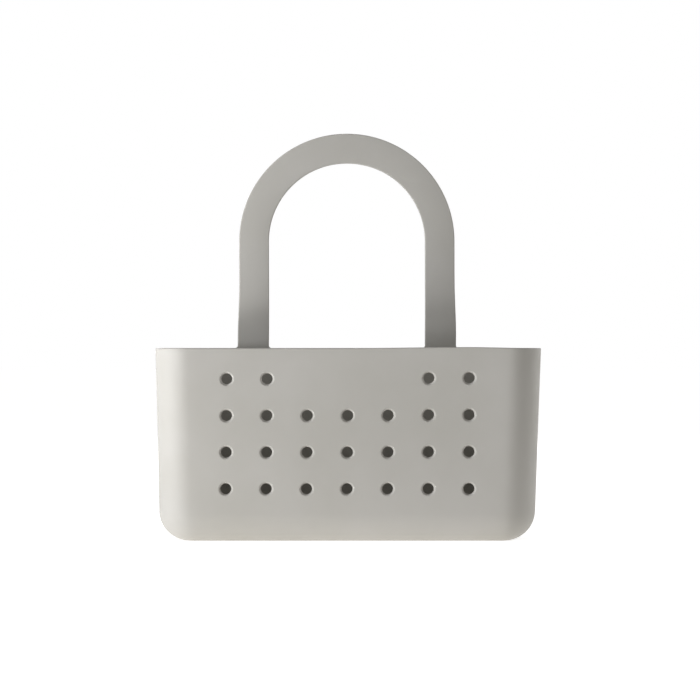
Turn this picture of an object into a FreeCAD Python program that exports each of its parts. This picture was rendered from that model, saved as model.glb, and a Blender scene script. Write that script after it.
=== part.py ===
"""Kitchen sink caddy: a tapered drain tub with a flat hanging strap that folds at its two roots.

One soft moulding, kept as four solids that meet face to face where the strap bends.
Millimetres; the origin is the centre of the base, +Z is up and the wall with the holes faces -Y.
"""
import FreeCAD, Part
import math
import os
import Sketcher

VECTOR = FreeCAD.Vector

# Driving sizes: the name, the value in millimetres, degrees or a count, and what it sets
SIZES = [
    ("rim_width", 200.0, "outer width across the rim"),
    ("rim_depth", 75.0, "outer depth across the rim, front to back"),
    ("tub_height", 100.0, "base to rim"),
    ("wall_draft", 1.75, "degrees that the front and side walls lean outwards"),
    ("corner_radius", 16.5, "outside radius of the plan corners and of the roll into the base"),
    ("wall_thickness", 3.0, "walls, base and strap"),
    ("edge_ease", 0.8, "chamfer that eases the rim and the strap edges"),
    ("hole_diameter", 5.4, "bore of a drain hole"),
    ("hole_ease", 1.0, "chamfer at the mouth of a drain hole in the front wall"),
    ("column_pitch", 20.7, "spacing of the hole columns"),
    ("row_pitch", 18.85, "spacing of the hole rows on the front wall"),
    ("first_row_drop", 15.7, "rim to the top row, along the wall"),
    ("column_count", 7, "holes in a full row"),
    ("full_rows", 3, "full rows on the front wall"),
    ("end_holes", 2, "holes at each end of the top row"),
    ("drain_row_pitch", 18.85, "spacing of the hole rows in the base"),
    ("drain_rows", 2, "rows of holes in the base"),
    ("strap_band", 16.0, "width of the flat strap"),
    ("strap_arch_radius", 50.0, "arch radius at the middle of the band"),
    ("strap_leg_rise", 57.4, "rim to the centre of the arch"),
    ("stub_height", 2.2, "rim to the start of the bending root"),
    ("root_length", 12.0, "length of a bending root"),
    ("root_flare", 0.8, "extra width on the outer edge of a leg at its foot"),
    ("root_fillet", 1.4, "fillet where a leg meets the rim"),
]

# Distance below which two places count as the same
NEAR = 1e-3

# Expressions shared by several features
BACK = "Sizes.rim_depth / 2"
LEG_INNER = "Sizes.strap_arch_radius - Sizes.strap_band / 2"
LEG_OUTER = "Sizes.strap_arch_radius + Sizes.strap_band / 2"
ROOT_START = "Sizes.tub_height + Sizes.stub_height"
ROOT_END = "Sizes.tub_height + Sizes.stub_height + Sizes.root_length"


def make_sheet(doc):
    """Writes the driving sizes into a sheet, one named cell each."""
    sheet = doc.addObject("Spreadsheet::Sheet", "Sizes")
    for row, (name, value, meaning) in enumerate(SIZES, start=1):
        sheet.set(f"A{row}", name)
        sheet.set(f"B{row}", str(value))
        sheet.set(f"C{row}", meaning)
        sheet.setAlias(f"B{row}", name)
    doc.recompute()
    return sheet


def origin_item(body, role):
    """The plane or axis of a body's own origin that has this role."""
    return next(item for item in body.Origin.OriginFeatures if item.Role == role)


def new_sketch(body, name, role, offset):
    """A sketch on one of the body's origin planes, moved by the expressions in offset."""
    sketch = body.newObject("Sketcher::SketchObject", name)
    sketch.AttachmentSupport = [(origin_item(body, role), "")]
    sketch.MapMode = "FlatFace"
    for target, expression in offset.items():
        sketch.setExpression("AttachmentOffset." + target, expression)
    return sketch


def add_line(sketch, start, end):
    """A straight edge between two sketch points; gives its index."""
    return sketch.addGeometry(Part.LineSegment(VECTOR(*start, 0), VECTOR(*end, 0)))


def add_arc(sketch, centre, radius, start, end):
    """An anticlockwise arc between two angles in degrees; gives its index."""
    circle = Part.Circle(VECTOR(*centre, 0), VECTOR(0, 0, 1), radius)
    return sketch.addGeometry(Part.ArcOfCircle(circle, math.radians(start), math.radians(end)))


def fix(sketch, *args):
    """Adds a geometric constraint."""
    sketch.addConstraint(Sketcher.Constraint(*args))


def bind(sketch, name, expression, *args):
    """Adds a named dimension that follows an expression."""
    index = sketch.addConstraint(Sketcher.Constraint(*args))
    sketch.renameConstraint(index, name)
    sketch.setExpression("Constraints." + name, expression)


def add_feature(body, kind, name, bound, **settings):
    """A PartDesign feature with plain settings and properties bound to expressions."""
    feature = body.newObject("PartDesign::" + kind, name)
    for key, value in settings.items():
        setattr(feature, key, value)
    for key, expression in bound.items():
        feature.setExpression(key, expression)
    return feature


def named_edges(feature, test):
    """The names of a feature's edges that pass a test."""
    return [f"Edge{i}" for i, edge in enumerate(feature.Shape.Edges, start=1) if test(edge)]


def at_height(edge, height):
    """True for an edge that lies level at a height."""
    return abs(edge.BoundBox.ZMin - height) < NEAR and abs(edge.BoundBox.ZMax - height) < NEAR


def named_faces(feature, test):
    """The names of a feature's faces that pass a test."""
    return [f"Face{i}" for i, face in enumerate(feature.Shape.Faces, start=1) if test(face)]


def centred_rectangle(sketch, width, depth):
    """A rectangle centred on the sketch's origin; each size is (start value, expression)."""
    half_width = width[0] / 2
    half_depth = depth[0] / 2
    corners = [
        (-half_width, -half_depth),
        (half_width, -half_depth),
        (half_width, half_depth),
        (-half_width, half_depth),
    ]
    for index, corner in enumerate(corners):
        add_line(sketch, corner, corners[(index + 1) % 4])
    for index in range(4):
        fix(sketch, "Coincident", index, 2, (index + 1) % 4, 1)
        fix(sketch, "Vertical" if index % 2 else "Horizontal", index)
    fix(sketch, "Symmetric", 0, 1, 1, 2, -1, 1)
    bind(sketch, "width", width[1], "DistanceX", 0, 1, 0, 2, width[0])
    bind(sketch, "depth", depth[1], "DistanceY", 1, 1, 1, 2, depth[0])


def make_shell(doc, body, sheet):
    """The open tub: a hollowed block whose front and side walls lean, rounded in plan and rolled into its base."""
    rim = sheet.tub_height
    wall = sheet.wall_thickness
    half_width = sheet.rim_width / 2
    half_depth = sheet.rim_depth / 2
    outline = new_sketch(body, "rim_outline", "XY_Plane", {"Base.z": "Sizes.tub_height"})
    centred_rectangle(
        outline, (sheet.rim_width, "Sizes.rim_width"), (sheet.rim_depth, "Sizes.rim_depth")
    )
    block = add_feature(body, "Pad", "block", {"Length": "Sizes.tub_height"}, Profile=outline, Reversed=True)
    doc.recompute()
    mouth = new_sketch(body, "mouth_outline", "XY_Plane", {"Base.z": "Sizes.tub_height"})
    centred_rectangle(
        mouth,
        (sheet.rim_width - 2 * wall, "Sizes.rim_width - 2 * Sizes.wall_thickness"),
        (sheet.rim_depth - 2 * wall, "Sizes.rim_depth - 2 * Sizes.wall_thickness"),
    )
    hollow = add_feature(
        body, "Pocket", "hollow", {"Length": "Sizes.tub_height - Sizes.wall_thickness"}, Profile=mouth
    )
    doc.recompute()
    if hollow.Shape.Volume > block.Shape.Volume - NEAR:
        raise RuntimeError("the hollow was not cut downwards from the rim")

    def lean(base, name, inset, outwards):
        side = half_width - inset
        front = inset - half_depth
        walls = named_faces(
            base,
            lambda face: abs(abs(face.CenterOfMass.x) - side) < NEAR or abs(face.CenterOfMass.y - front) < NEAR,
        )
        rim_face = named_faces(base, lambda face: abs(face.CenterOfMass.z - rim) < NEAR)
        draft = add_feature(
            body,
            "Draft",
            name,
            {"Angle": "Sizes.wall_draft"},
            Base=(base, walls),
            NeutralPlane=(base, rim_face),
            Reversed=outwards,
        )
        doc.recompute()
        return draft

    # The hollow leans before the outside does, so that the wall never thins to nothing on the way
    leaning = lean(hollow, "inner_lean", wall, False)
    leaning = lean(leaning, "outer_lean", 0, True)

    def rounded(base, name, floor, radius):
        edges = named_edges(
            base,
            lambda edge: at_height(edge, floor) or abs(edge.BoundBox.ZLength - (rim - floor)) < NEAR,
        )
        fillet = add_feature(body, "Fillet", name, {"Radius": radius}, Base=(base, edges))
        doc.recompute()
        return fillet

    # The hollow is rounded first for the same reason
    inside = rounded(leaning, "inner_rounding", wall, "Sizes.corner_radius - Sizes.wall_thickness")
    return rounded(inside, "outer_rounding", 0, "Sizes.corner_radius")


def add_stubs(doc, body, sheet):
    """Two short stubs on the back rim, filleted into it, with one eased edge along rim and stubs."""
    inner = sheet.strap_arch_radius - sheet.strap_band / 2
    outer = sheet.strap_arch_radius + sheet.strap_band / 2 + sheet.root_flare
    rim = sheet.tub_height
    top = sheet.tub_height + sheet.stub_height
    outline = new_sketch(body, "stub_outline", "XZ_Plane", {"Base.z": f"-{BACK}"})
    add_line(outline, (inner, rim), (outer, rim))
    add_line(outline, (outer, rim), (outer, top))
    add_line(outline, (outer, top), (inner, top))
    add_line(outline, (inner, top), (inner, rim))
    for index in range(4):
        fix(outline, "Coincident", index, 2, (index + 1) % 4, 1)
        fix(outline, "Vertical" if index % 2 else "Horizontal", index)
    bind(outline, "inner", LEG_INNER, "DistanceX", -1, 1, 0, 1, inner)
    bind(outline, "outer", f"{LEG_OUTER} + Sizes.root_flare", "DistanceX", -1, 1, 0, 2, outer)
    bind(outline, "rim", "Sizes.tub_height", "DistanceY", -1, 1, 0, 1, rim)
    bind(outline, "rise", "Sizes.stub_height", "DistanceY", 1, 1, 1, 2, sheet.stub_height)
    stub = add_feature(body, "Pad", "right_stub", {"Length": "Sizes.wall_thickness"}, Profile=outline)
    doc.recompute()
    both = add_feature(
        body, "Mirrored", "left_stub", {}, Originals=[stub], MirrorPlane=(origin_item(body, "YZ_Plane"), [""])
    )
    body.Tip = both
    doc.recompute()

    across = sheet.wall_thickness
    reach = outer + sheet.root_fillet + NEAR

    def crosses_back_wall(edge):
        box = edge.BoundBox
        middle = edge.CenterOfMass
        straight = box.XLength < NEAR and box.ZLength < NEAR
        return straight and abs(box.YLength - across) < NEAR and abs(middle.x) < reach and middle.y > 0

    feet = named_edges(both, lambda edge: crosses_back_wall(edge) and at_height(edge, rim))
    root = add_feature(body, "Fillet", "stub_fillet", {"Radius": "Sizes.root_fillet"}, Base=(both, feet))
    doc.recompute()

    sharp = named_edges(
        root,
        lambda edge: edge.BoundBox.ZMin > rim - NEAR
        and not crosses_back_wall(edge)
        and not at_height(edge, top),
    )
    edges = add_feature(body, "Chamfer", "eased_edges", {"Size": "Sizes.edge_ease"}, Base=(root, sharp))
    doc.recompute()
    return edges


def add_hole_grid(doc, body, sheet, name, role, offset, first, columns, rows):
    """A grid of drain holes; first is (start value, expression) across and up, columns and rows are patterns."""
    outline = new_sketch(body, name + "_outline", role, offset)
    outline.addGeometry(
        Part.Circle(VECTOR(first[0][0], first[1][0], 0), VECTOR(0, 0, 1), sheet.hole_diameter / 2)
    )
    bind(outline, "bore", "Sizes.hole_diameter", "Diameter", 0, sheet.hole_diameter)
    bind(outline, "across", first[0][1], "DistanceX", 0, 3, -1, 1, -first[0][0])
    bind(outline, "down", first[1][1], "DistanceY", 0, 3, -1, 1, -first[1][0])
    hole = add_feature(
        body,
        "Pocket",
        name,
        {"Length": "4 * Sizes.wall_thickness"},
        Profile=outline,
        SideType="Symmetric",
    )
    doc.recompute()
    grid = add_feature(
        body,
        "LinearPattern",
        name + "_grid",
        {
            "Occurrences": columns[0],
            "Length": f"{columns[1]} * ({columns[0]} - 1)",
            "Occurrences2": rows[0],
            "Length2": f"{rows[1]} * ({rows[0]} - 1)",
        },
        Originals=[hole],
        Direction=(outline, ["H_Axis"]),
        Direction2=(outline, [rows[2]]),
        Mode="Extent",
        Mode2="Extent",
    )
    body.Tip = grid
    doc.recompute()
    return grid


def add_holes(doc, body, sheet):
    """The drain holes in the front wall, with eased mouths, and in the base."""
    half_row = sheet.column_pitch * (sheet.column_count - 1) / 2
    half_row_rule = "Sizes.column_pitch * (Sizes.column_count - 1) / 2"
    low_row = sheet.first_row_drop + sheet.full_rows * sheet.row_pitch
    low_row_rule = "Sizes.first_row_drop + Sizes.full_rows * Sizes.row_pitch"
    half_drain = sheet.drain_row_pitch * (sheet.drain_rows - 1) / 2
    half_drain_rule = "Sizes.drain_row_pitch * (Sizes.drain_rows - 1) / 2"
    on_wall = {
        "Base.y": "Sizes.tub_height",
        "Base.z": BACK,
        "Rotation.Axis.x": "1",
        "Rotation.Axis.y": "0",
        "Rotation.Axis.z": "0",
        "Rotation.Angle": "Sizes.wall_draft",
    }
    add_hole_grid(
        doc,
        body,
        sheet,
        "wall_hole",
        "XZ_Plane",
        on_wall,
        ((-half_row, half_row_rule), (-low_row, low_row_rule)),
        ("Sizes.column_count", "Sizes.column_pitch"),
        ("Sizes.full_rows", "Sizes.row_pitch", "V_Axis"),
    )
    add_hole_grid(
        doc,
        body,
        sheet,
        "end_hole",
        "XZ_Plane",
        on_wall,
        ((-half_row, half_row_rule), (-sheet.first_row_drop, "Sizes.first_row_drop")),
        ("Sizes.end_holes", "Sizes.column_pitch"),
        ("2", "Sizes.column_pitch * (Sizes.column_count - Sizes.end_holes)", "H_Axis"),
    )
    drains = add_hole_grid(
        doc,
        body,
        sheet,
        "base_hole",
        "XY_Plane",
        {},
        ((-half_row, half_row_rule), (-half_drain, half_drain_rule)),
        ("Sizes.column_count", "Sizes.column_pitch"),
        ("Sizes.drain_rows", "Sizes.drain_row_pitch", "V_Axis"),
    )

    lean = math.radians(sheet.wall_draft)
    wall_point = VECTOR(0, -sheet.rim_depth / 2, sheet.tub_height)
    wall_normal = VECTOR(0, -math.cos(lean), -math.sin(lean))

    def is_mouth(edge):
        if edge.Degenerated or not isinstance(edge.Curve, Part.Circle):
            return False
        centre = edge.Curve.Center
        bore = abs(edge.Curve.Radius - sheet.hole_diameter / 2) < NEAR
        return bore and abs((centre - wall_point).dot(wall_normal)) < NEAR

    mouths = named_edges(drains, is_mouth)
    add_feature(body, "Chamfer", "hole_mouths", {"Size": "Sizes.hole_ease"}, Base=(drains, mouths))
    doc.recompute()


def make_tub(doc, sheet):
    """The tub with its stubs and drain holes."""
    body = doc.addObject("PartDesign::Body", "tub")
    make_shell(doc, body, sheet)
    add_stubs(doc, body, sheet)
    add_holes(doc, body, sheet)
    return body


def pad_strap(doc, body, sketch, keep):
    """Pads a strap outline to the wall's thickness and eases the long edges that pass a test."""
    band = add_feature(body, "Pad", "band", {"Length": "Sizes.wall_thickness"}, Profile=sketch)
    doc.recompute()
    edges = named_edges(band, lambda edge: edge.BoundBox.YLength < NEAR and keep(edge))
    add_feature(body, "Chamfer", "eased_edges", {"Size": "Sizes.edge_ease"}, Base=(band, edges))
    doc.recompute()


def make_root(doc, sheet, name, side):
    """One bending root, from its stub to the loop; side is 1 on the right and -1 on the left."""
    body = doc.addObject("PartDesign::Body", name)
    outline = new_sketch(body, "root_outline", "XZ_Plane", {"Base.z": f"-{BACK}"})
    inner = sheet.strap_arch_radius - sheet.strap_band / 2
    outer = sheet.strap_arch_radius + sheet.strap_band / 2
    low = sheet.tub_height + sheet.stub_height
    high = low + sheet.root_length
    flare = sheet.root_flare
    sweep = (sheet.root_length**2 + flare**2) / (2 * flare)
    swing = math.degrees(math.asin(sheet.root_length / sweep))
    centre = (side * (outer + sweep), high)
    first, last = (180, 180 + swing) if side > 0 else (-swing, 0)
    top_end, low_end = (1, 2) if side > 0 else (2, 1)
    add_line(outline, (side * inner, low), (side * (outer + flare), low))
    add_arc(outline, centre, sweep, first, last)
    add_line(outline, (side * outer, high), (side * inner, high))
    add_line(outline, (side * inner, high), (side * inner, low))
    fix(outline, "Coincident", 0, 2, 1, low_end)
    fix(outline, "Coincident", 1, top_end, 2, 1)
    fix(outline, "Coincident", 2, 2, 3, 1)
    fix(outline, "Coincident", 3, 2, 0, 1)
    fix(outline, "Horizontal", 0)
    fix(outline, "Horizontal", 2)
    fix(outline, "Vertical", 3)
    fix(outline, "Horizontal", 1, 3, 1, top_end)

    def across(label, rule, line, point, value):
        ends = (-1, 1, line, point) if side > 0 else (line, point, -1, 1)
        bind(outline, label, rule, "DistanceX", *ends, value)

    across("inner", LEG_INNER, 0, 1, inner)
    across("outer", LEG_OUTER, 2, 1, outer)
    across("foot", f"{LEG_OUTER} + Sizes.root_flare", 0, 2, outer + flare)
    bind(outline, "low", ROOT_START, "DistanceY", -1, 1, 0, 1, low)
    bind(outline, "length", "Sizes.root_length", "DistanceY", 3, 2, 3, 1, sheet.root_length)
    pad_strap(doc, body, outline, lambda edge: edge.BoundBox.ZLength > sheet.root_length - NEAR)
    return body


def make_loop(doc, sheet):
    """The hanging loop: two legs that run into a half-round arch."""
    body = doc.addObject("PartDesign::Body", "strap_loop")
    outline = new_sketch(body, "loop_outline", "XZ_Plane", {"Base.z": f"-{BACK}"})
    inner = sheet.strap_arch_radius - sheet.strap_band / 2
    outer = sheet.strap_arch_radius + sheet.strap_band / 2
    foot = sheet.tub_height + sheet.stub_height + sheet.root_length
    crown = sheet.tub_height + sheet.strap_leg_rise
    add_arc(outline, (0, crown), outer, 0, 180)
    add_line(outline, (-outer, crown), (-outer, foot))
    add_line(outline, (-outer, foot), (-inner, foot))
    add_line(outline, (-inner, foot), (-inner, crown))
    add_arc(outline, (0, crown), inner, 0, 180)
    add_line(outline, (inner, crown), (inner, foot))
    add_line(outline, (inner, foot), (outer, foot))
    add_line(outline, (outer, foot), (outer, crown))
    fix(outline, "Tangent", 0, 2, 1, 1)
    fix(outline, "Tangent", 3, 2, 4, 2)
    fix(outline, "Tangent", 4, 1, 5, 1)
    fix(outline, "Tangent", 7, 2, 0, 1)
    for first, second in ((1, 2), (2, 3), (5, 6), (6, 7)):
        fix(outline, "Coincident", first, 2, second, 1)
    for index in (1, 3, 5, 7):
        fix(outline, "Vertical", index)
    fix(outline, "Horizontal", 2)
    fix(outline, "Horizontal", 6)
    fix(outline, "Coincident", 0, 3, 4, 3)
    fix(outline, "PointOnObject", 0, 3, -2)
    bind(outline, "crown", "Sizes.tub_height + Sizes.strap_leg_rise", "DistanceY", -1, 1, 0, 3, crown)
    bind(outline, "outer", LEG_OUTER, "Radius", 0, outer)
    bind(outline, "inner", LEG_INNER, "Radius", 4, inner)
    bind(outline, "left_foot", ROOT_END, "DistanceY", -1, 1, 2, 1, foot)
    bind(outline, "right_foot", ROOT_END, "DistanceY", -1, 1, 6, 1, foot)
    pad_strap(doc, body, outline, lambda edge: not at_height(edge, foot))
    return body


def check(doc):
    """Stops the build if any feature failed or any solid is not sound."""
    for item in doc.Objects:
        if "Invalid" in item.State or "Error" in item.State:
            raise RuntimeError(f"{item.Name} did not build: {item.State}")
        if item.TypeId.startswith("PartDesign::"):
            if item.Shape.isNull() or not item.Shape.isValid():
                raise RuntimeError(f"{item.Name} has no sound shape")


def main():
    """Builds the four solids and writes each to its own STEP file."""
    doc = FreeCAD.newDocument("sink_caddy")
    sheet = make_sheet(doc)
    bodies = [
        make_tub(doc, sheet),
        make_root(doc, sheet, "left_strap_root", -1),
        make_root(doc, sheet, "right_strap_root", 1),
        make_loop(doc, sheet),
    ]
    doc.recompute()
    check(doc)
    os.makedirs("parts", exist_ok=True)
    for body in bodies:
        if len(body.Shape.Solids) != 1:
            raise RuntimeError(f"{body.Label} is not one solid")
        body.Shape.exportStep(f"parts/{body.Label}.step")
        box = body.Shape.BoundBox
        print(body.Label, round(body.Shape.Volume, 1), box)


main()
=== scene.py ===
"""Visual model of a soft moulded kitchen sink caddy: a drain tub and a flat hanging strap.

Laid out as a Blender add-on and run as a script. Metres; the origin is the centre of the base,
+Z is up and the wall with the drain holes faces -Y.
"""
import math

import bmesh
import bpy
from bpy.props import FloatProperty, FloatVectorProperty, IntProperty, PointerProperty
from bpy.types import Operator, Panel, PropertyGroup
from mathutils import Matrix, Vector


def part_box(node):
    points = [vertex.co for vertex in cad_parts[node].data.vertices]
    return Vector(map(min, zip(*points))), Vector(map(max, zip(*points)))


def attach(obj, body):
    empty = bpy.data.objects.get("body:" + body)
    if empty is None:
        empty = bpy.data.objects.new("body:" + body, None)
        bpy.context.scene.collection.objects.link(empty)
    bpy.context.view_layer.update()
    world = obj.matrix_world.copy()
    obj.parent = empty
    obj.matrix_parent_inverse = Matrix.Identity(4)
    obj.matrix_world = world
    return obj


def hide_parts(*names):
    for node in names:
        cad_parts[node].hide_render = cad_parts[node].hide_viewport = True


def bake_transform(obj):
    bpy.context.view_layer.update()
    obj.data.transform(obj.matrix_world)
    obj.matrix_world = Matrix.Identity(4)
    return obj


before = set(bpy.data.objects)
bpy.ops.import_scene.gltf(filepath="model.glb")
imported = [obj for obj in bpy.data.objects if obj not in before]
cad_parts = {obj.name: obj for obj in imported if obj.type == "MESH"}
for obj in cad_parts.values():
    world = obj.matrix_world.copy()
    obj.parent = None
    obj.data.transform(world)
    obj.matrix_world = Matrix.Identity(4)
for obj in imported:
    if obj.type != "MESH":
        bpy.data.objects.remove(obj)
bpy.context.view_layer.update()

bl_info = {
    "name": "Sink caddy",
    "version": (1, 0, 0),
    "blender": (4, 5, 0),
    "location": "3D View > Sidebar > Caddy",
    "description": "Makes a soft moulded sink caddy with drain holes and a folding hanging strap",
    "category": "Add Mesh",
}

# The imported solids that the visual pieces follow
TUB_LOW, TUB_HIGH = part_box("tub")
ROOT_LOW, ROOT_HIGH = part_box("right_strap_root")
_, LOOP_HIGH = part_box("strap_loop")

MM = 0.001

# How finely the surfaces are divided
HOLE_STEPS = 8
CORNER_STEPS = 14
ROLL_STEPS = 14
SIDE_STEPS = 10
EDGE_STEPS = 6
STRAP_STEPS = 240
BACK_STEPS = 5
FOOT_STEPS = 4

# Rings of a hole's tile, as shares of the way from its border to the hole
TILE_RINGS = (0, 0.4, 0.75, 1)

# Share of a straight bevel in the lip of a drain hole; the rest is round
LIP_BEVEL = 0.35

# Flat strips round a hole's lip and below the rim's rounding, which keep the walls' shading even
LIP_MARGIN = 0.35 * MM
RIM_MARGIN = 0.4 * MM

# Width of the flat strap in millimetres
STRAP_BAND = 16

# The soft part's set, as multiples of its softness
FRONT_SWAY = 3.0
CORNER_OUT = 1.2
FRONT_BOW = 5.5
RIM_LIFT = 1.4
RIM_SAG = 0.3

# Sizes of the silicone's pale clouds and smoother patches, the depth of its grain,
# and how far its roughness goes up and down
CLOUD_WIDTH = 45 * MM
PATCH_WIDTH = 7 * MM
GRAIN_DEPTH = 0.05 * MM
ROUGHNESS_SPREAD = 0.05

# Points closer than this are one point
WELD = 0.002 * MM

# Edges that turn by more than this stay crisp
CRISP_ANGLE = math.radians(40)


def linear(hex_colour):
    """A linear colour from sRGB hex digits."""
    channels = [int(hex_colour[start : start + 2], 16) / 255 for start in (0, 2, 4)]
    return [c / 12.92 if c <= 0.04045 else ((c + 0.055) / 1.055) ** 2.4 for c in channels]


def length(label, meaning, millimetres):
    """A length that a user can set, with its default in millimetres."""
    return FloatProperty(
        name=label, description=meaning, default=millimetres * MM, min=0.0, precision=4, unit="LENGTH"
    )


def colour(label, meaning, hex_colour):
    """A colour that a user can set, with its default as sRGB hex digits."""
    return FloatVectorProperty(
        name=label, description=meaning, default=linear(hex_colour), min=0.0, max=1.0, subtype="COLOR"
    )


class CaddySizes(PropertyGroup):
    """Sizes of the tub and its strap."""

    rim_width: length("Rim width", "Outer width across the rim", (TUB_HIGH.x - TUB_LOW.x) / MM)
    rim_depth: length("Rim depth", "Outer depth across the rim", (TUB_HIGH.y - TUB_LOW.y) / MM)
    tub_height: length("Tub height", "Base to rim", 100)
    wall_draft: FloatProperty(
        name="Wall draft",
        description="Lean of the front and side walls",
        default=math.radians(1.75),
        subtype="ANGLE",
    )
    corner_radius: length("Corner radius", "Outside radius of the plan corners", 17.8)
    base_roll: length("Base roll", "Outside radius from the walls into the base", 15.2)
    wall: length("Wall", "Thickness of the walls, the base and the strap", 3)
    edge_round: length("Edge round", "Radius on the rim and along the strap", 0.6)
    hole_bore: length("Hole bore", "Diameter of a drain hole", 5.6)
    hole_lip: length("Hole lip", "Width of the rounding round a drain hole's mouth", 0.9)
    hole_lip_depth: length("Hole lip depth", "How far that rounding reaches into the wall", 1.7)
    inner_lip: length("Inner lip", "Radius of a drain hole's inner mouth", 0.4)
    column_pitch: length("Column pitch", "Spacing of the hole columns", 20.75)
    row_pitch: length("Row pitch", "Spacing of the hole rows on the front wall", 18.85)
    first_row_drop: length("First row", "Rim to the top row of holes, along the wall", 15.9)
    drain_pitch: length("Drain pitch", "Spacing of the hole rows in the base", 18.85)
    columns: IntProperty(name="Columns", description="Holes in a full row", default=7, min=1)
    rows: IntProperty(name="Rows", description="Rows of holes on the front wall", default=4, min=1)
    bare_columns: IntProperty(
        name="Bare columns", description="Middle places of the top row without a hole", default=3, min=0
    )
    drain_rows: IntProperty(
        name="Drain rows", description="Rows of holes in the base", default=2, min=1
    )
    strap_band: length("Strap band", "Width of the flat strap", STRAP_BAND)
    arch_radius: length(
        "Arch radius", "Arch radius at the middle of the band", LOOP_HIGH.x / MM - STRAP_BAND / 2
    )
    arch_centre: length("Arch centre", "Height of the arch's centre", (LOOP_HIGH.z - LOOP_HIGH.x) / MM)
    root_start: length("Root start", "Height where a leg starts to bend", ROOT_LOW.z / MM)
    root_end: length("Root end", "Height where a leg stops bending", ROOT_HIGH.z / MM)
    root_flare: length("Root flare", "Extra width on the outer edge of a leg at its foot", 0.8)
    flare_top: length("Flare top", "Height over the rim where a leg starts to widen", 36)
    flare_end: length("Flare end", "Height over the rim where a leg has its full width", 6)
    foot_fillet: length("Foot fillet", "Fillet where a leg meets the rim", 1.4)
    softness: length("Softness", "How far the soft walls and rim wander", 0.35)


class CaddyFinish(PropertyGroup):
    """Finish of the moulded silicone."""

    body_colour: colour("Body colour", "Main colour of the silicone", "B4B1AA")
    cloud_colour: colour("Cloud colour", "Colour of its faint paler clouds", "B9B6B0")
    roughness: FloatProperty(
        name="Roughness", description="Middle roughness of the surface", default=0.6, min=0.0, max=1.0
    )
    grain: length("Grain", "Width of the mould's grain as drawn", 0.9)


class StudioSettings(PropertyGroup):
    """Camera, floor and the light from all round."""

    camera_distance: length("Camera distance", "Camera to the front wall", 1400)
    camera_height: length("Camera height", "Height of the level camera", 98.9)
    camera_across: length("Camera across", "Camera to the right of the middle", 1.7)
    lens: FloatProperty(
        name="Lens", description="Focal length on a 36 mm sensor", default=140.6, unit="CAMERA"
    )
    surround: FloatProperty(
        name="Surround", description="Light from all round the object", default=0.295, min=0.0
    )
    floor_colour: colour("Floor colour", "Pale paper of the floor", "F0EFED")
    glow_left: FloatProperty(
        name="Glow left",
        description="Light that comes up through the paper on the left",
        default=0.7,
        min=0.0,
    )
    glow_right: FloatProperty(
        name="Glow right",
        description="Light that comes up through the paper on the right",
        default=0.55,
        min=0.0,
    )
    glow_reach: length("Glow reach", "How far that light reaches to either side and to the front", 220)


def add_node(tree, kind, inputs=None, **settings):
    """Adds a node with its settings; an input is a socket to link or a plain value."""
    node = tree.nodes.new(kind)
    for key, value in settings.items():
        setattr(node, key, value)
    for key, value in (inputs or {}).items():
        if isinstance(value, bpy.types.NodeSocket):
            tree.links.new(value, node.inputs[key])
        else:
            node.inputs[key].default_value = value
    return node


def new_tree(name, inputs):
    """An empty geometry node tree with named inputs; gives the tree and its input sockets by name."""
    tree = bpy.data.node_groups.new(name, "GeometryNodeTree")
    for label, kind in inputs:
        tree.interface.new_socket(name=label, in_out="INPUT", socket_type="NodeSocket" + kind)
    tree.interface.new_socket(name="Geometry", in_out="OUTPUT", socket_type="NodeSocketGeometry")
    return tree, add_node(tree, "NodeGroupInput").outputs


def set_inputs(modifier, values):
    """Sets a node modifier's inputs, found by name and written by identifier."""
    for item in modifier.node_group.interface.items_tree:
        if item.in_out == "INPUT" and item.name in values:
            modifier[item.identifier] = values[item.name]


def new_object(name, data):
    """An object in the scene, at the origin."""
    obj = bpy.data.objects.new(name, data)
    bpy.context.scene.collection.objects.link(obj)
    return obj


def realise(obj):
    """Turns what an object's node modifier makes into its own plain mesh."""
    depsgraph = bpy.context.evaluated_depsgraph_get()
    made = bpy.data.meshes.new_from_object(obj.evaluated_get(depsgraph), depsgraph=depsgraph)
    source = obj.data
    obj.modifiers.clear()
    obj.data = made
    bpy.data.meshes.remove(source)
    made.name = obj.name


def rise(low, high, value):
    """Goes smoothly from 0 at low to 1 at high."""
    share = min(max((value - low) / (high - low), 0.0), 1.0)
    return share * share * (3 - 2 * share)


def soften(point, amount):
    """Where a point of the ideal moulding lies on the soft one; one rule for the tub and the strap."""
    # Places and lengths here are in millimetres
    x, y, z = (value / MM for value in point)
    # The waves die out towards the base and up the strap
    free = rise(12, 80, z) * (1 - rise(104, 150, z))
    front = 1 - rise(-5, 30, y)
    # The front leans a little to the right of the back, and its lower right corner stands out
    sway = rise(5, 95, z) * front
    corner = (1 - rise(10, 75, z)) * rise(0, 70, x)
    # The front rim is a little higher towards its right end
    lift = rise(0, 60, x) * (1 - rise(62, 95, x))
    # The long front wall bows in between its corners, most at the rim
    bow = rise(15, 100, z) * (1 - rise(-30, 20, y)) * max(1 - (x / 86) ** 2, 0)
    # Slow waves along the walls
    wave_x = 0.5 * math.sin(z / 23 + 1.1) + 0.4 * math.sin(y / 19)
    wave_y = 0.7 * math.sin(x / 37 + 0.6) + 0.5 * math.sin(x / 21 - z / 40)
    wander_x = FRONT_SWAY * sway + CORNER_OUT * corner + free * wave_x
    wander_y = FRONT_BOW * bow + free * wave_y
    wander_z = free * front * (RIM_LIFT * lift - RIM_SAG)
    return point + amount * Vector((wander_x, wander_y, wander_z))


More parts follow.
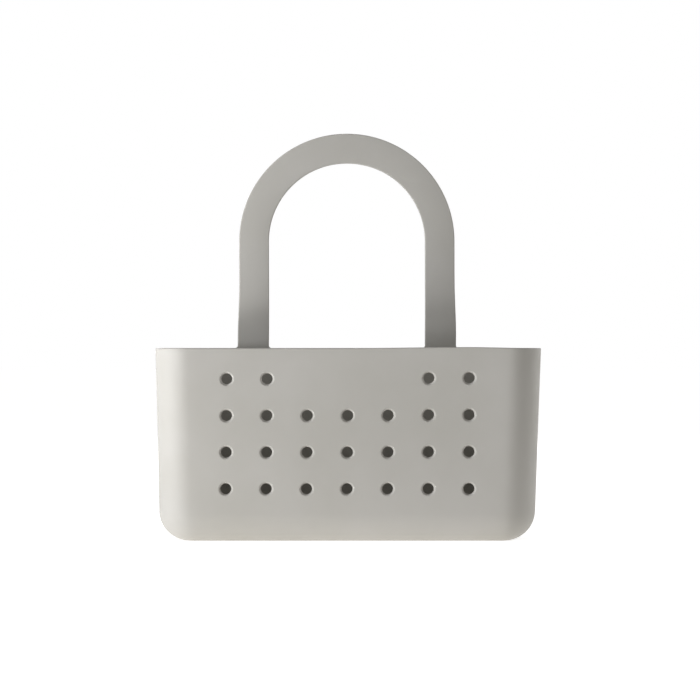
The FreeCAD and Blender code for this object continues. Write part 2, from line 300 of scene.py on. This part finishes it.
def finish_mesh(obj, softness):
    """Welds a closed mesh, turns its faces outwards, softens its form and shades it smooth."""
    mesh = obj.data
    work = bmesh.new()
    work.from_mesh(mesh)
    bmesh.ops.remove_doubles(work, verts=work.verts, dist=WELD)
    open_edges = [edge for edge in work.edges if not edge.is_manifold]
    if open_edges:
        middle = sum((vert.co for vert in open_edges[0].verts), Vector()) / 2
        raise RuntimeError(f"{obj.name} has {len(open_edges)} open edges, one at {middle}")
    bmesh.ops.recalc_face_normals(work, faces=work.faces)
    for vert in work.verts:
        vert.co = soften(vert.co, softness)
    work.to_mesh(mesh)
    work.free()
    mesh.shade_smooth()
    mesh.set_sharp_from_angle(angle=CRISP_ANGLE)


def moulded_silicone(finish):
    """Silicone rubber from a spark-eroded mould: a soft matte skin with faint pale clouds."""
    material = bpy.data.materials.new("moulded_silicone")
    material.use_nodes = True
    tree = material.node_tree
    tree.nodes.clear()
    place = add_node(tree, "ShaderNodeTexCoord").outputs["Object"]
    # Clouds come from dust and handling. The real grain, about 0.05 mm wide, is too fine to show,
    # so it is drawn coarser
    noise = {}
    for name, width, detail in (
        ("clouds", CLOUD_WIDTH, 3.0),
        ("patches", PATCH_WIDTH, 2.0),
        ("grain", finish.grain, 2.0),
    ):
        pattern = add_node(
            tree, "ShaderNodeTexNoise", {"Vector": place, "Scale": 1 / width, "Detail": detail}
        )
        noise[name] = pattern.outputs["Fac"]
    cloud_share = add_node(
        tree, "ShaderNodeMapRange", {"Value": noise["clouds"], "From Min": 0.35, "From Max": 0.65}
    )
    skin = add_node(
        tree,
        "ShaderNodeMix",
        {
            "Factor": cloud_share.outputs["Result"],
            "A": (*finish.body_colour, 1),
            "B": (*finish.cloud_colour, 1),
        },
        data_type="RGBA",
    )
    gloss = add_node(
        tree,
        "ShaderNodeMapRange",
        {
            "Value": noise["patches"],
            "From Min": 0.3,
            "From Max": 0.7,
            "To Min": finish.roughness - ROUGHNESS_SPREAD,
            "To Max": finish.roughness + ROUGHNESS_SPREAD,
        },
    )
    relief = add_node(
        tree, "ShaderNodeBump", {"Strength": 0.12, "Distance": GRAIN_DEPTH, "Height": noise["grain"]}
    )
    shader = add_node(
        tree,
        "ShaderNodeBsdfPrincipled",
        {
            "Base Color": skin.outputs["Result"],
            "Roughness": gloss.outputs["Result"],
            "Normal": relief.outputs["Normal"],
            "IOR": 1.41,
            "Sheen Weight": 0.05,
            "Sheen Roughness": 0.5,
        },
    )
    add_node(tree, "ShaderNodeOutputMaterial", {"Surface": shader.outputs["BSDF"]})
    return material


def silicone(context):
    """The one silicone material, made when it is first asked for."""
    return bpy.data.materials.get("moulded_silicone") or moulded_silicone(context.scene.caddy_finish)


def steps(start, end, count):
    """Evenly spaced values from start to end, both included."""
    return [start + (end - start) * step / count for step in range(count + 1)]


def hole_columns(sizes):
    """Where the front wall is divided across, so that each hole's tile has its own columns."""
    half = sizes.columns * sizes.column_pitch / 2
    return steps(-half, half, sizes.columns * HOLE_STEPS)


def has_hole(sizes, row, column):
    """True where the front wall has a drain hole; row 0 is the top one."""
    from_middle = abs(column - (sizes.columns - 1) / 2)
    return row > 0 or from_middle > sizes.bare_columns / 2


def strap_feet(sizes):
    """Inner and outer side of a leg's foot, measured across from the middle."""
    inner = sizes.arch_radius - sizes.strap_band / 2
    outer = sizes.arch_radius + sizes.strap_band / 2 + sizes.root_flare
    return inner, outer


def tub_outline(sizes, inset, height):
    """The tub's rounded plan at a height, inset from its outside; always the same count of points."""
    lean = (sizes.tub_height - height) * math.tan(sizes.wall_draft)
    half = sizes.rim_width / 2 - inset - lean
    front = inset + lean - sizes.rim_depth / 2
    back = sizes.rim_depth / 2 - inset
    radius = sizes.corner_radius - inset
    flat = half - radius
    columns = hole_columns(sizes)
    between = (flat + columns[-1]) / 2
    inner, outer = strap_feet(sizes)
    foot_low = inner - sizes.foot_fillet
    foot_high = outer + sizes.foot_fillet
    half_back = steps(0, foot_low, BACK_STEPS) + steps(foot_low, foot_high, FOOT_STEPS)[1:]
    half_back.append((flat + foot_high) / 2)
    across_back = list(reversed(half_back)) + [-x for x in half_back[1:]] + [-flat]

    def corner(x, y, first):
        turns = steps(math.radians(first), math.radians(first + 90), CORNER_STEPS)[1:]
        return [(x + radius * math.cos(turn), y + radius * math.sin(turn)) for turn in turns]

    points = [(x, front) for x in [-flat, -between] + columns + [between, flat]]
    points += corner(flat, front + radius, -90)
    points += [(half, y) for y in steps(front + radius, back - radius, SIDE_STEPS)[1:]]
    points += corner(flat, back - radius, 0)
    points += [(x, back) for x in across_back]
    points += corner(-flat, back - radius, 90)
    points += [(-half, y) for y in steps(back - radius, front + radius, SIDE_STEPS)[1:]]
    points += corner(-flat, front + radius, 180)[:-1]
    return points


def rim_section(sizes):
    """The rounded section over the rim, as (depth from the outside, height over the crown)."""
    radius = sizes.edge_round
    turns = steps(0, math.pi / 2, EDGE_STEPS)
    outside = [(radius * (1 - math.cos(turn)), radius * (math.sin(turn) - 1)) for turn in turns]
    inside = [(sizes.wall - depth, height) for depth, height in reversed(outside)]
    return outside + inside


def tub_profile(sizes):
    """The wall's section from underside to floor: (inset, height, level of the hole tiles or None)."""
    upright = math.cos(sizes.wall_draft)
    turns = steps(0, math.pi / 2, ROLL_STEPS)
    top = sizes.first_row_drop - sizes.row_pitch / 2
    drops = steps(top, top + sizes.rows * sizes.row_pitch, sizes.rows * HOLE_STEPS)
    support = sizes.tub_height - sizes.edge_round - RIM_MARGIN
    shift = sizes.wall * upright * math.sin(sizes.wall_draft)
    levels = [(sizes.tub_height - drop * upright, level) for level, drop in enumerate(drops)]
    high = (levels[0][0] + support) / 2

    def quarter_roll(radius, start):
        insets = [start + radius * (1 - math.sin(turn)) for turn in turns]
        heights = [start + radius * (1 - math.cos(turn)) for turn in turns]
        return [(inset, height, None) for inset, height in zip(insets, heights)]

    profile = quarter_roll(sizes.base_roll, 0)
    profile += [(0, height, level) for height, level in reversed(levels)]
    profile += [(0, high, None), (0, support, None)]
    profile += [(depth, sizes.tub_height + height, None) for depth, height in rim_section(sizes)]
    profile += [(sizes.wall, support, None), (sizes.wall, high, None)]
    profile += [(sizes.wall, height + shift, level) for height, level in levels]
    profile += reversed(quarter_roll(sizes.base_roll - sizes.wall, sizes.wall))
    return profile


def add_walls(work, sizes):
    """The tub's walls, open for hole tiles and strap feet; gives the loops round underside and floor."""
    profile = tub_profile(sizes)
    rings = []
    for inset, height, _ in profile:
        rings.append([work.verts.new((x, y, height)) for x, y in tub_outline(sizes, inset, height)])
    inner, outer = strap_feet(sizes)
    shoulder = sizes.tub_height - sizes.edge_round - WELD
    # An outline starts with two points to the left of the hole columns
    first_column = 2
    last_column = first_column + sizes.columns * HOLE_STEPS
    for index in range(len(rings) - 1):
        low, high = rings[index], rings[index + 1]
        marks = (profile[index][2], profile[index + 1][2])
        on_rim = min(profile[index][1], profile[index + 1][1]) > shoulder
        for start in range(len(low)):
            end = (start + 1) % len(low)
            if None not in marks and first_column <= start < last_column:
                if has_hole(sizes, min(marks) // HOLE_STEPS, (start - first_column) // HOLE_STEPS):
                    continue
            middle = (low[start].co + low[end].co) / 2
            under_foot = inner - sizes.foot_fillet < abs(middle.x) < outer + sizes.foot_fillet
            if on_rim and middle.y > 0 and under_foot:
                continue
            work.faces.new((low[start], low[end], high[end], high[start]))
    return rings[0], rings[-1]


def fill_flat(work, sizes, loop):
    """Closes the underside or the floor round its panel of drain holes."""
    height = loop[0].co.z
    across = hole_columns(sizes)
    half = sizes.drain_rows * sizes.drain_pitch / 2
    deep = steps(-half, half, sizes.drain_rows * HOLE_STEPS)
    border = [(x, -half) for x in across[:-1]] + [(across[-1], y) for y in deep[:-1]]
    border += [(-x, half) for x in across[:-1]] + [(across[0], -y) for y in deep[:-1]]
    panel = [work.verts.new((x, y, height)) for x, y in border]
    edges = []
    for ring in (loop, panel):
        for start, vert in enumerate(ring):
            pair = (vert, ring[(start + 1) % len(ring)])
            edges.append(work.edges.get(pair) or work.edges.new(pair))
    bmesh.ops.triangle_fill(work, use_beauty=True, edges=edges, normal=(0, 0, 1))


def add_foot(work, sizes, side):
    """One strap foot on the back rim: side is 1 on the right and -1 on the left."""
    inner, outer = strap_feet(sizes)
    fillet = sizes.foot_fillet
    rim = sizes.tub_height
    back = sizes.rim_depth / 2
    section = rim_section(sizes)

    def sweep(centre, last):
        turns = steps(-math.pi / 2, last, EDGE_STEPS)
        path = []
        for turn in turns:
            path.append((centre + fillet * math.cos(turn), rim + fillet + fillet * math.sin(turn), turn))
        path.append((centre + fillet * math.cos(last), sizes.root_start, last))
        rows = []
        for x, z, turn in path:
            row = []
            for depth, height in section:
                across = x - height * math.cos(turn)
                up = z - height * math.sin(turn)
                row.append(work.verts.new((side * across, back - depth, up)))
            rows.append(row)
        for low, high in zip(rows, rows[1:]):
            for start in range(len(section) - 1):
                work.faces.new((low[start], low[start + 1], high[start + 1], high[start]))
        return rows

    near = sweep(inner - fillet, 0)
    far = sweep(outer + fillet, -math.pi)
    crossing = steps(inner - fillet, outer + fillet, FOOT_STEPS)[1:-1]
    for index in (0, -1):
        depth, height = section[index]
        low = [work.verts.new((side * x, back - depth, rim + height)) for x in crossing]
        loop = low + [row[index] for row in far] + [row[index] for row in reversed(near)]
        work.faces.new(loop)
    work.faces.new(near[-1] + list(reversed(far[-1])))


def hole_tile(name, sizes, pitch, thickness):
    """One tile of wall with its drain hole, lip to lip; its outside is at height 0 and faces +Z."""
    half_x = sizes.column_pitch / 2
    half_y = pitch / 2
    along = steps(-1, 1, HOLE_STEPS)[:-1]
    border = [(t, -1) for t in along] + [(1, t) for t in along]
    border += [(-t, 1) for t in along] + [(-1, -t) for t in along]
    bore = sizes.hole_bore / 2
    turns = steps(0, math.pi / 2, EDGE_STEPS)
    count = len(border)

    def circle(radius):
        starts = [2 * math.pi * index / count - 3 * math.pi / 4 for index in range(count)]
        return [(radius * math.cos(turn), radius * math.sin(turn)) for turn in starts]

    def skin(lip, depth):
        edge = [(half_x * x, half_y * y) for x, y in border]
        mouth = circle(bore + lip + LIP_MARGIN)
        rings = []
        for share in TILE_RINGS:
            ring = []
            for (ax, ay), (bx, by) in zip(edge, mouth):
                ring.append((ax + (bx - ax) * share, ay + (by - ay) * share, -depth))
            rings.append(ring)
        return rings

    # The outer lip is between a straight bevel and a full round
    rings = skin(sizes.hole_lip, 0)
    for share, turn in zip(steps(0, 1, EDGE_STEPS), turns):
        inwards = LIP_BEVEL * share + (1 - LIP_BEVEL) * math.sin(turn)
        down = LIP_BEVEL * share + (1 - LIP_BEVEL) * (1 - math.cos(turn))
        ring = circle(bore + sizes.hole_lip * (1 - inwards))
        rings.append([(x, y, -sizes.hole_lip_depth * down) for x, y in ring])
    for turn in reversed(turns):
        ring = circle(bore + sizes.inner_lip * (1 - math.sin(turn)))
        rings.append([(x, y, -thickness + sizes.inner_lip * (1 - math.cos(turn))) for x, y in ring])
    rings += list(reversed(skin(sizes.inner_lip, thickness)))
    points = [point for ring in rings for point in ring]
    faces = []
    for row in range(len(rings) - 1):
        for start in range(count):
            end = (start + 1) % count
            low, high = row * count, (row + 1) * count
            faces.append((low + start, low + end, high + end, high + start))
    mesh = bpy.data.meshes.new(name)
    mesh.from_pydata(points, [], faces)
    return new_object(name, mesh)


def drain_hole_tree():
    """Sets hole tiles into the front wall and the base, and welds them to the walls."""
    tree, given = new_tree(
        "drain_holes",
        [
            ("Walls", "Geometry"),
            ("Wall Tile", "Object"),
            ("Base Tile", "Object"),
            ("Columns", "Int"),
            ("Column Pitch", "Float"),
            ("Wall Rows", "Int"),
            ("Row Pitch", "Float"),
            ("Wall Middle", "Vector"),
            ("Wall Turn", "Vector"),
            ("Bare Half Width", "Float"),
            ("Bare Above", "Float"),
            ("Base Rows", "Int"),
            ("Base Pitch", "Float"),
            ("Base Turn", "Vector"),
            ("Weld", "Float"),
            ("Material", "Material"),
        ],
    )

    # A grid of points for the wall and one for the base; each side is its gaps times their pitch
    spans = {}
    for count, pitch in (
        ("Columns", "Column Pitch"),
        ("Wall Rows", "Row Pitch"),
        ("Base Rows", "Base Pitch"),
    ):
        gaps = add_node(tree, "ShaderNodeMath", {0: given[count], 1: 1.0}, operation="SUBTRACT")
        side = add_node(
            tree, "ShaderNodeMath", {0: gaps.outputs[0], 1: given[pitch]}, operation="MULTIPLY"
        )
        spans[count] = side.outputs[0]
    grids = {}
    for rows in ("Wall Rows", "Base Rows"):
        grid = add_node(
            tree,
            "GeometryNodeMeshGrid",
            {
                "Size X": spans["Columns"],
                "Size Y": spans[rows],
                "Vertices X": given["Columns"],
                "Vertices Y": given[rows],
            },
        )
        grids[rows] = grid.outputs["Mesh"]
    # The top row has holes only at its two ends
    place = add_node(tree, "GeometryNodeInputPosition")
    parts = add_node(tree, "ShaderNodeSeparateXYZ", {"Vector": place.outputs["Position"]})
    aside = add_node(tree, "ShaderNodeMath", {0: parts.outputs["X"]}, operation="ABSOLUTE")
    clear = add_node(
        tree,
        "FunctionNodeCompare",
        {"A": aside.outputs[0], "B": given["Bare Half Width"]},
        operation="GREATER_THAN",
    )
    below = add_node(
        tree,
        "FunctionNodeCompare",
        {"A": parts.outputs["Y"], "B": given["Bare Above"]},
        operation="LESS_THAN",
    )
    wanted = add_node(
        tree, "FunctionNodeBooleanMath", {0: clear.outputs[0], 1: below.outputs[0]}, operation="OR"
    )
    wall_tile = add_node(tree, "GeometryNodeObjectInfo", {"Object": given["Wall Tile"]})
    base_tile = add_node(tree, "GeometryNodeObjectInfo", {"Object": given["Base Tile"]})
    wall_holes = add_node(
        tree,
        "GeometryNodeInstanceOnPoints",
        {
            "Points": grids["Wall Rows"],
            "Selection": wanted.outputs[0],
            "Instance": wall_tile.outputs["Geometry"],
        },
    )
    base_holes = add_node(
        tree,
        "GeometryNodeInstanceOnPoints",
        {"Points": grids["Base Rows"], "Instance": base_tile.outputs["Geometry"]},
    )
    on_wall = add_node(
        tree,
        "GeometryNodeTransform",
        {
            "Geometry": wall_holes.outputs["Instances"],
            "Translation": given["Wall Middle"],
            "Rotation": given["Wall Turn"],
        },
    )
    on_base = add_node(
        tree,
        "GeometryNodeTransform",
        {"Geometry": base_holes.outputs["Instances"], "Rotation": given["Base Turn"]},
    )
    joined = add_node(tree, "GeometryNodeJoinGeometry")
    for source in (given["Walls"], on_wall.outputs["Geometry"], on_base.outputs["Geometry"]):
        tree.links.new(source, joined.inputs["Geometry"])
    real = add_node(tree, "GeometryNodeRealizeInstances", {"Geometry": joined.outputs["Geometry"]})
    welded = add_node(
        tree,
        "GeometryNodeMergeByDistance",
        {"Geometry": real.outputs["Geometry"], "Distance": given["Weld"]},
    )
    coated = add_node(
        tree,
        "GeometryNodeSetMaterial",
        {"Geometry": welded.outputs["Geometry"], "Material": given["Material"]},
    )
    add_node(tree, "NodeGroupOutput", {"Geometry": coated.outputs["Geometry"]})
    return tree


def hanging_band_tree():
    """Sweeps the strap's flat section up one leg, round the arch and down the other leg."""
    tree, given = new_tree(
        "hanging_band",
        [
            ("Steps", "Int"),
            ("Foot", "Float"),
            ("Arch Centre", "Float"),
            ("Arch Radius", "Float"),
            ("Middle", "Float"),
            ("Band", "Float"),
            ("Thickness", "Float"),
            ("Edge Round", "Float"),
            ("Edge Steps", "Int"),
            ("Flare Top", "Float"),
            ("Flare End", "Float"),
            ("Flare", "Float"),
            ("Material", "Material"),
        ],
    )

    place = add_node(tree, "GeometryNodeInputPosition").outputs["Position"]
    parts = add_node(tree, "ShaderNodeSeparateXYZ", {"Vector": place}).outputs
    values = {socket.name: socket for socket in given}
    values["index"] = add_node(tree, "GeometryNodeInputIndex").outputs["Index"]
    values["x"] = parts["X"]
    # Each row is a sum: its name, its operation and the values or plain numbers that go into it.
    # The path is measured by the distance run from the right foot
    for name, operation, first, second in (
        ("leg", "SUBTRACT", "Arch Centre", "Foot"),
        ("arch", "MULTIPLY", "Arch Radius", math.pi),
        ("arch end", "ADD", "leg", "arch"),
        ("whole", "ADD", "arch end", "leg"),
        ("points", "ADD", "Steps", 1.0),
        ("share", "DIVIDE", "index", "Steps"),
        ("run", "MULTIPLY", "share", "whole"),
        ("past leg", "SUBTRACT", "run", "leg"),
        ("into arch", "MAXIMUM", "past leg", 0.0),
        ("on arch", "MINIMUM", "into arch", "arch"),
        ("turn", "DIVIDE", "on arch", "Arch Radius"),
        ("cosine", "COSINE", "turn", 0.0),
        ("sine", "SINE", "turn", 0.0),
        ("across", "MULTIPLY", "cosine", "Arch Radius"),
        ("over", "MULTIPLY", "sine", "Arch Radius"),
        ("up leg", "MINIMUM", "run", "leg"),
        ("past arch", "SUBTRACT", "run", "arch end"),
        ("down leg", "MAXIMUM", "past arch", 0.0),
        ("straight", "SUBTRACT", "up leg", "down leg"),
        ("leg height", "ADD", "Foot", "straight"),
        ("height", "ADD", "leg height", "over"),
        ("half band", "MULTIPLY", "Band", 0.5),
        ("leg inside", "SUBTRACT", "Arch Radius", "half band"),
        ("leg outside", "ADD", "Arch Radius", "half band"),
        ("aside", "ABSOLUTE", "x", 0.0),
        ("side", "SIGN", "x", 0.0),
        ("flare aside", "MULTIPLY", "side", "Flare"),
    ):
        inputs = {0: values[first], 1: values.get(second, second)}
        values[name] = add_node(tree, "ShaderNodeMath", inputs, operation=operation).outputs[0]
    point = add_node(
        tree,
        "ShaderNodeCombineXYZ",
        {"X": values["across"], "Y": given["Middle"], "Z": values["height"]},
    )
    line = add_node(tree, "GeometryNodeMeshLine", {"Count": values["points"]})
    bent = add_node(
        tree,
        "GeometryNodeSetPosition",
        {"Geometry": line.outputs["Mesh"], "Position": point.outputs["Vector"]},
    )
    path = add_node(tree, "GeometryNodeMeshToCurve", {"Mesh": bent.outputs["Geometry"]})
    flat = add_node(
        tree,
        "GeometryNodeCurvePrimitiveQuadrilateral",
        {"Width": given["Band"], "Height": given["Thickness"]},
    )
    section = add_node(
        tree,
        "GeometryNodeFilletCurve",
        {"Curve": flat.outputs["Curve"], "Count": given["Edge Steps"], "Radius": given["Edge Round"]},
        mode="POLY",
    )
    band = add_node(
        tree,
        "GeometryNodeCurveToMesh",
        {"Curve": path.outputs["Curve"], "Profile Curve": section.outputs["Curve"], "Fill Caps": True},
    )
    # The outer edge of each leg swings out towards its foot
    outwards = add_node(
        tree,
        "ShaderNodeMapRange",
        {
            "Value": values["aside"],
            "From Min": values["leg inside"],
            "From Max": values["leg outside"],
            "To Max": values["flare aside"],
        },
    )
    downwards = add_node(
        tree,
        "ShaderNodeMapRange",
        {
            "Value": parts["Z"],
            "From Min": given["Flare Top"],
            "From Max": given["Flare End"],
            "To Max": outwards.outputs["Result"],
        },
        interpolation_type="SMOOTHSTEP",
    )
    offset = add_node(tree, "ShaderNodeCombineXYZ", {"X": downwards.outputs["Result"]})
    shaped = add_node(
        tree,
        "GeometryNodeSetPosition",
        {"Geometry": band.outputs["Mesh"], "Offset": offset.outputs["Vector"]},
    )
    real = add_node(tree, "GeometryNodeRealizeInstances", {"Geometry": shaped.outputs["Geometry"]})
    coated = add_node(
        tree,
        "GeometryNodeSetMaterial",
        {"Geometry": real.outputs["Geometry"], "Material": given["Material"]},
    )
    add_node(tree, "NodeGroupOutput", {"Geometry": coated.outputs["Geometry"]})
    return tree


class CADDY_OT_make_tub(Operator):
    """Makes the tapered tub with its drain holes and the two feet of the strap"""

    bl_idname = "caddy.make_tub"
    bl_label = "Make tub"

    def execute(self, context):
        sizes = context.scene.caddy_sizes
        work = bmesh.new()
        underside, floor = add_walls(work, sizes)
        fill_flat(work, sizes, underside)
        fill_flat(work, sizes, floor)
        add_foot(work, sizes, 1)
        add_foot(work, sizes, -1)
        mesh = bpy.data.meshes.new("walls")
        work.to_mesh(mesh)
        work.free()
        tub = new_object("caddy_tub", mesh)
        wall_across = sizes.wall * math.cos(sizes.wall_draft)
        wall_tile = hole_tile("wall_tile", sizes, sizes.row_pitch, wall_across)
        base_tile = hole_tile("base_tile", sizes, sizes.drain_pitch, sizes.wall)
        drop = sizes.first_row_drop + (sizes.rows - 1) * sizes.row_pitch / 2
        middle = (
            0,
            drop * math.sin(sizes.wall_draft) - sizes.rim_depth / 2,
            sizes.tub_height - drop * math.cos(sizes.wall_draft),
        )
        modifier = tub.modifiers.new("drain_holes", "NODES")
        modifier.node_group = drain_hole_tree()
        set_inputs(
            modifier,
            {
                "Wall Tile": wall_tile,
                "Base Tile": base_tile,
                "Columns": sizes.columns,
                "Column Pitch": sizes.column_pitch,
                "Wall Rows": sizes.rows,
                "Row Pitch": sizes.row_pitch,
                "Wall Middle": middle,
                "Wall Turn": (math.pi / 2 + sizes.wall_draft, 0, 0),
                "Bare Half Width": sizes.bare_columns * sizes.column_pitch / 2,
                "Bare Above": (sizes.rows - 2) * sizes.row_pitch / 2,
                "Base Rows": sizes.drain_rows,
                "Base Pitch": sizes.drain_pitch,
                "Base Turn": (math.pi, 0, 0),
                "Weld": WELD,
                "Material": silicone(context),
            },
        )
        realise(tub)
        for tile in (wall_tile, base_tile):
            bpy.data.meshes.remove(tile.data)
        finish_mesh(tub, sizes.softness)
        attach(tub, "tub")
        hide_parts("tub")
        return {"FINISHED"}


class CADDY_OT_make_strap(Operator):
    """Makes the flat hanging strap as one fixed mesh; the real strap bends at its two roots"""

    bl_idname = "caddy.make_strap"
    bl_label = "Make strap"

    def execute(self, context):
        sizes = context.scene.caddy_sizes
        strap = new_object("caddy_strap", bpy.data.meshes.new("band"))
        plane = sizes.rim_depth / 2 - sizes.wall / 2
        modifier = strap.modifiers.new("hanging_band", "NODES")
        modifier.node_group = hanging_band_tree()
        set_inputs(
            modifier,
            {
                "Steps": STRAP_STEPS,
                "Foot": sizes.root_start,
                "Arch Centre": sizes.arch_centre,
                "Arch Radius": sizes.arch_radius,
                "Middle": plane,
                "Band": sizes.strap_band,
                "Thickness": sizes.wall,
                "Edge Round": sizes.edge_round,
                "Edge Steps": EDGE_STEPS,
                "Flare Top": sizes.tub_height + sizes.flare_top,
                "Flare End": sizes.tub_height + sizes.flare_end,
                "Flare": sizes.root_flare,
                "Material": silicone(context),
            },
        )
        realise(strap)
        finish_mesh(strap, sizes.softness)
        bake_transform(strap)
        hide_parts("strap_loop", "left_strap_root", "right_strap_root")
        return {"FINISHED"}


# Half the width of the floor and its drop below the base, in metres
FLOOR_REACH = 12.0
FLOOR_DROP = 0.2 * MM

# White that the camera sees on the floor besides the lit paper; with less of it the shadow is darker
FLOOR_WHITE = 0.75

# The paper's glow fades out in front between these shares of its reach,
# and ends between these places under the front of the base
GLOW_FADE = (0.8, 1.6)
GLOW_END = (-19 * MM, -14 * MM)

WHITE = (1, 1, 1, 1)
PLAIN = (1.0, 1.0, 1.0)
COOL = (0.97, 1.0, 1.05)
TUB_MIDDLE = (0, 0, 0.06)

# Soft boxes, a low strip and a panel that lies on the table, which shines up and has no aim:
# name, place, aim, width, height, tint and power in watts
LAMPS = [
    ("left_soft_box", (-1.1, -0.5, 0.085), TUB_MIDDLE, 0.45, 0.16, COOL, 8.5),
    ("right_back_soft_box", (1.1, 0.58, 0.2), TUB_MIDDLE, 0.6, 0.6, PLAIN, 3.9),
    ("back_soft_box", (-0.3, 1.5, 0.5), TUB_MIDDLE, 0.8, 0.5, PLAIN, 6.6),
    ("left_table_panel", (-0.575, -0.2, 0.002), None, 0.65, 0.36, PLAIN, 2.6),
    ("left_near_strip", (-0.28, -0.25, 0.012), TUB_MIDDLE, 0.25, 0.022, PLAIN, 0.2),
]


def white_for_camera(tree, lit, white):
    """Mixes in a shader that only the camera, reflections and see-through rays meet."""
    rays = add_node(tree, "ShaderNodeLightPath").outputs
    shown = rays["Is Camera Ray"]
    for ray in ("Is Glossy Ray", "Is Transmission Ray"):
        shown = add_node(tree, "ShaderNodeMath", {0: shown, 1: rays[ray]}, operation="MAXIMUM").outputs[0]
    return add_node(tree, "ShaderNodeMixShader", {0: shown, 1: lit, 2: white}).outputs[0]


def paper_floor(settings):
    """Matte white paper, lit from below in front of the object; the camera sees white and the shadow."""
    material = bpy.data.materials.new("matte_paper")
    material.use_nodes = True
    tree = material.node_tree
    tree.nodes.clear()
    paper = (*settings.floor_colour, 1)
    reach = settings.glow_reach
    fade_start, fade_end = GLOW_FADE
    place = add_node(tree, "ShaderNodeTexCoord").outputs["Object"]
    parts = add_node(tree, "ShaderNodeSeparateXYZ", {"Vector": place}).outputs
    across = add_node(
        tree,
        "ShaderNodeMapRange",
        {
            "Value": parts["X"],
            "From Min": -reach,
            "From Max": reach,
            "To Min": settings.glow_left,
            "To Max": settings.glow_right,
        },
    )
    nearby = add_node(
        tree,
        "ShaderNodeMapRange",
        {
            "Value": parts["Y"],
            "From Min": -fade_end * reach,
            "From Max": -fade_start * reach,
            "To Min": 0.0,
            "To Max": across.outputs["Result"],
        },
    )
    # No light comes up under the base
    glow = add_node(
        tree,
        "ShaderNodeMapRange",
        {
            "Value": parts["Y"],
            "From Min": GLOW_END[0],
            "From Max": GLOW_END[1],
            "To Min": nearby.outputs["Result"],
            "To Max": 0.0,
        },
    )
    matte = add_node(tree, "ShaderNodeBsdfDiffuse", {"Color": paper}).outputs[0]
    table = add_node(tree, "ShaderNodeEmission", {"Color": paper, "Strength": glow.outputs["Result"]})
    white = add_node(tree, "ShaderNodeEmission", {"Color": WHITE, "Strength": FLOOR_WHITE})
    lit = add_node(tree, "ShaderNodeAddShader", {0: matte, 1: table.outputs[0]})
    shown = add_node(tree, "ShaderNodeAddShader", {0: matte, 1: white.outputs[0]})
    surface = white_for_camera(tree, lit.outputs[0], shown.outputs[0])
    add_node(tree, "ShaderNodeOutputMaterial", {"Surface": surface})
    return material


class CADDY_OT_set_stage(Operator):
    """Sets the pale floor, the soft lamps and the camera"""

    bl_idname = "caddy.set_stage"
    bl_label = "Set stage"

    def execute(self, context):
        scene = context.scene
        settings = scene.caddy_studio
        mesh = bpy.data.meshes.new("studio_floor")
        corners = []
        for x, y in ((-1, -1), (1, -1), (1, 1), (-1, 1)):
            corners.append((x * FLOOR_REACH, y * FLOOR_REACH, -FLOOR_DROP))
        mesh.from_pydata(corners, [], [(0, 1, 2, 3)])
        mesh.materials.append(paper_floor(settings))
        new_object("studio_floor", mesh)

        for name, place, aim, width, height, tint, power in LAMPS:
            lamp = bpy.data.lights.new(name, "AREA")
            lamp.shape = "RECTANGLE"
            lamp.size = width
            lamp.size_y = height
            lamp.color = tint
            lamp.energy = power
            holder = new_object(name, lamp)
            holder.visible_camera = False
            holder.location = place
            holder.rotation_euler = (math.pi, 0, 0)
            if aim:
                sight = Vector(aim) - Vector(place)
                holder.rotation_euler = sight.to_track_quat("-Z", "Y").to_euler()

        world = bpy.data.worlds.new("studio_surround")
        world.use_nodes = True
        tree = world.node_tree
        tree.nodes.clear()
        lit = add_node(tree, "ShaderNodeBackground", {"Color": WHITE, "Strength": settings.surround})
        white = add_node(tree, "ShaderNodeBackground", {"Color": WHITE, "Strength": 1.0})
        surface = white_for_camera(tree, lit.outputs[0], white.outputs[0])
        add_node(tree, "ShaderNodeOutputWorld", {"Surface": surface})
        scene.world = world

        camera = bpy.data.cameras.new("camera")
        camera.lens = settings.lens
        camera.sensor_width = 36
        camera.clip_end = 100
        holder = new_object("camera", camera)
        back_off = scene.caddy_sizes.rim_depth / 2 + settings.camera_distance
        holder.location = (settings.camera_across, -back_off, settings.camera_height)
        holder.rotation_euler = (math.pi / 2, 0, 0)
        scene.camera = holder
        scene.view_settings.view_transform = "Standard"
        return {"FINISHED"}


class CADDY_PT_panel(Panel):
    """Lists the caddy's operators and settings"""

    bl_label = "Sink caddy"
    bl_idname = "CADDY_PT_panel"
    bl_space_type = "VIEW_3D"
    bl_region_type = "UI"
    bl_category = "Caddy"

    def draw(self, context):
        column = self.layout.column()
        for operator in OPERATORS:
            column.operator(operator.bl_idname)
        for name in ("caddy_sizes", "caddy_finish", "caddy_studio"):
            group = getattr(context.scene, name)
            for key in group.__annotations__:
                column.prop(group, key)


OPERATORS = (CADDY_OT_make_tub, CADDY_OT_make_strap, CADDY_OT_set_stage)
GROUPS = (CaddySizes, CaddyFinish, StudioSettings)


def register():
    """Adds the classes and their settings to Blender."""
    for item in (*GROUPS, *OPERATORS, CADDY_PT_panel):
        bpy.utils.register_class(item)
    bpy.types.Scene.caddy_sizes = PointerProperty(type=CaddySizes)
    bpy.types.Scene.caddy_finish = PointerProperty(type=CaddyFinish)
    bpy.types.Scene.caddy_studio = PointerProperty(type=StudioSettings)


def unregister():
    """Takes the classes and their settings out of Blender again."""
    del bpy.types.Scene.caddy_studio
    del bpy.types.Scene.caddy_finish
    del bpy.types.Scene.caddy_sizes
    for item in reversed((*GROUPS, *OPERATORS, CADDY_PT_panel)):
        bpy.utils.unregister_class(item)


def main():
    """Makes the pieces and the stage."""
    register()
    bpy.ops.caddy.make_tub()
    bpy.ops.caddy.make_strap()
    bpy.ops.caddy.set_stage()


if __name__ == "__main__":
    main()
